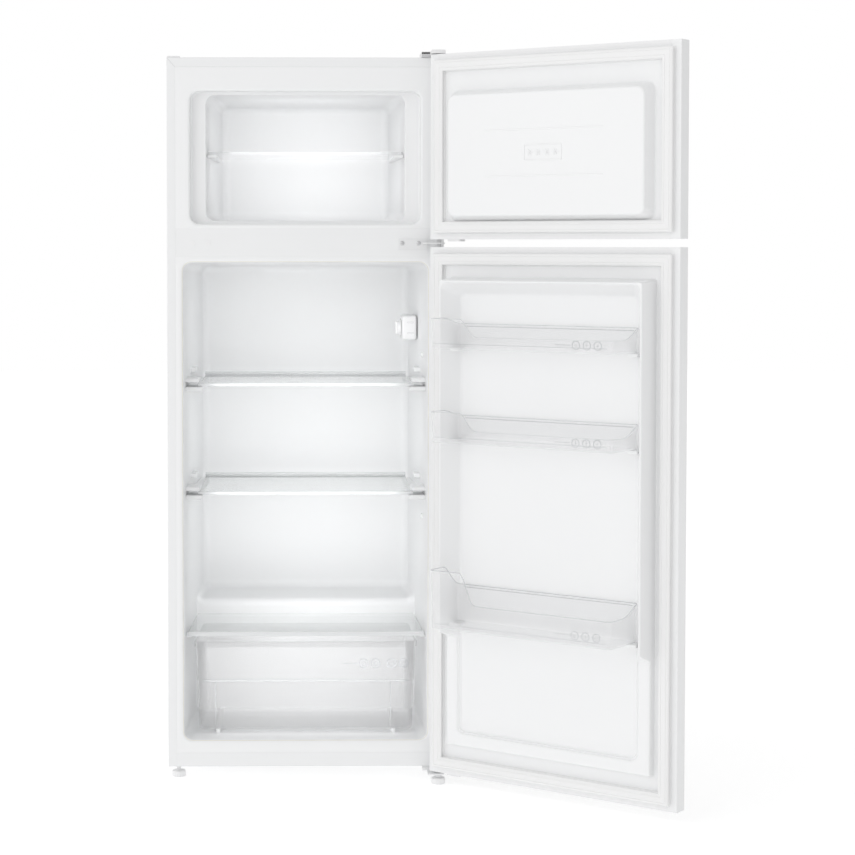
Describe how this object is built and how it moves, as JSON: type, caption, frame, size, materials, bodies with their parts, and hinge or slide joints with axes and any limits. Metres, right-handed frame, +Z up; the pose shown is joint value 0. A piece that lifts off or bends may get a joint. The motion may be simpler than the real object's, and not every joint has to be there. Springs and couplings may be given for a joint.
{
  "type": "top freezer refrigerator",
  "caption": "Free-standing top freezer refrigerator with hinged doors, glass shelves, clear door racks, a vegetable drawer and a rear compressor bay.",
  "frame": {"origin": "on the floor, at the middle of the cabinet's width, in the plane of the cabinet's front edge", "axes": "+X to the right seen from the front, +Y to the back, +Z up"},
  "size_m": [0.9667, 0.9075, 1.442],
  "materials": {
    "white_enamel": "white baked enamel, fine orange peel, semi-gloss",
    "galvanised": "galvanised sheet, faint spangle",
    "white_liner": "white thermoformed polystyrene, satin",
    "white_plastic": "white moulded plastic, satin",
    "white_seal": "white soft vinyl",
    "foam": "pale yellow rigid foam",
    "clear_plastic": "clear polystyrene, glossy",
    "shelf_glass": "toughened clear glass, faintly green edge",
    "clear_trim": "translucent white plastic trim",
    "zinc": "zinc plated steel",
    "white_coated_steel": "white powder coat",
    "black_enamel": "black enamel",
    "black_plastic": "black moulded plastic",
    "black_rubber": "black rubber",
    "grey_plastic": "grey moulded plastic",
    "copper": "copper, lightly tarnished",
    "aluminium": "mill finish",
    "lamp_glass": "clear glass",
    "bush_plastic": "white acetal"
  },
  "bodies": {
    "cabinet": {"back_panel": "galvanised", "base_pan": "white_enamel", "bottom_hinge": "white_coated_steel", "cabinet_foam": "foam", "cabinet_wrapper": "white_enamel", "compressor": "black_enamel", "compressor_grommets": "black_rubber", "compressor_rail": "galvanised", "condenser_coil": "zinc", "cord_gland": "black_plastic", "door_reed_switch": "black_plastic", "drip_tray": "grey_plastic", "evaporator_plates": "aluminium", "filter_drier": "copper", "freezer_liner": "white_liner", "fridge_liner": "white_liner", "hinge_screws": "zinc", "lamp_box": "white_plastic", "lamp_bulb": "lamp_glass", "lamp_lens": "clear_plastic", "left_foot_plate": "white_coated_steel", "machine_bay_panel": "galvanised", "mid_hinge": "white_coated_steel", "mullion_cover": "white_enamel", "mullion_plugs": "white_plastic", "rear_feet": "grey_plastic", "refrigerant_tubes": "copper", "relay_cover": "black_plastic", "thermostat": "grey_plastic", "top_corner_cap": "white_plastic", "top_hinge": "zinc", "top_hinge_cover": "white_plastic"},
    "freezer_door": {"freezer_door_skin": "white_enamel", "freezer_door_end_caps": "white_plastic", "freezer_door_foam": "foam", "freezer_door_liner": "white_liner", "freezer_door_gasket": "white_seal", "freezer_door_bushes": "bush_plastic", "freezer_door_stop": "white_plastic"},
    "fridge_door": {"fridge_door_skin": "white_enamel", "fridge_door_end_caps": "white_plastic", "fridge_door_foam": "foam", "fridge_door_liner": "white_liner", "fridge_door_gasket": "white_seal", "fridge_door_bushes": "bush_plastic", "fridge_door_stop": "white_plastic"},
    "upper_rack": {"upper_rack": "clear_plastic"},
    "middle_rack": {"middle_rack": "clear_plastic"},
    "bottle_rack": {"bottle_rack": "clear_plastic"},
    "freezer_shelf": {"freezer_shelf": "clear_plastic"},
    "upper_shelf": {"upper_shelf_glass": "shelf_glass", "upper_shelf_trims": "clear_trim"},
    "lower_shelf": {"lower_shelf_glass": "shelf_glass", "lower_shelf_trims": "clear_trim"},
    "crisper_cover": {"crisper_cover_glass": "shelf_glass", "crisper_cover_trim": "clear_trim"},
    "crisper_drawer": {"crisper_drawer": "clear_plastic"},
    "thermostat_knob": {"thermostat_knob": "white_plastic"},
    "left_foot": {"left_levelling_foot": "white_plastic"},
    "right_foot": {"right_levelling_foot": "white_plastic"}
  },
  "joints": [
    {"name": "freezer_door_hinge", "type": "hinge", "parent": "cabinet", "child": "freezer_door", "pos_m": [0.2615, -0.028, 1.25], "axis": [0, 0, 1], "range_deg": [-142.75, 0]},
    {"name": "fridge_door_hinge", "type": "hinge", "parent": "cabinet", "child": "fridge_door", "pos_m": [0.2615, -0.028, 0.54], "axis": [0, 0, 1], "range_deg": [-142.75, 0]},
    {"name": "upper_rack_lift", "type": "slide", "parent": "fridge_door", "child": "upper_rack", "axis": [0, 0, 1], "range_m": [0, 0.03]},
    {"name": "middle_rack_lift", "type": "slide", "parent": "fridge_door", "child": "middle_rack", "axis": [0, 0, 1], "range_m": [0, 0.03]},
    {"name": "bottle_rack_lift", "type": "slide", "parent": "fridge_door", "child": "bottle_rack", "axis": [0, 0, 1], "range_m": [0, 0.03]},
    {"name": "freezer_shelf_slide", "type": "slide", "parent": "cabinet", "child": "freezer_shelf", "axis": [0, -1, 0], "range_m": [0, 0.2]},
    {"name": "upper_shelf_slide", "type": "slide", "parent": "cabinet", "child": "upper_shelf", "axis": [0, -1, 0], "range_m": [0, 0.264]},
    {"name": "lower_shelf_slide", "type": "slide", "parent": "cabinet", "child": "lower_shelf", "axis": [0, -1, 0], "range_m": [0, 0.264]},
    {"name": "crisper_cover_slide", "type": "slide", "parent": "cabinet", "child": "crisper_cover", "axis": [0, -1, 0], "range_m": [0, 0.18]},
    {"name": "crisper_drawer_slide", "type": "slide", "parent": "cabinet", "child": "crisper_drawer", "axis": [0, -1, 0], "range_m": [0, 0.19]},
    {"name": "thermostat_knob_turn", "type": "hinge", "parent": "cabinet", "child": "thermostat_knob", "pos_m": [0.19, 0.222, 0.892], "axis": [-1, 0, 0], "range_deg": [0, 280]},
    {"name": "left_foot_turn", "type": "hinge", "parent": "cabinet", "child": "left_foot", "pos_m": [-0.254, 0.04, 0.01], "axis": [0, 0, 1], "continuous": true},
    {"name": "right_foot_turn", "type": "hinge", "parent": "cabinet", "child": "right_foot", "pos_m": [0.2615, -0.028, 0.01], "axis": [0, 0, 1], "continuous": true}
  ]
}
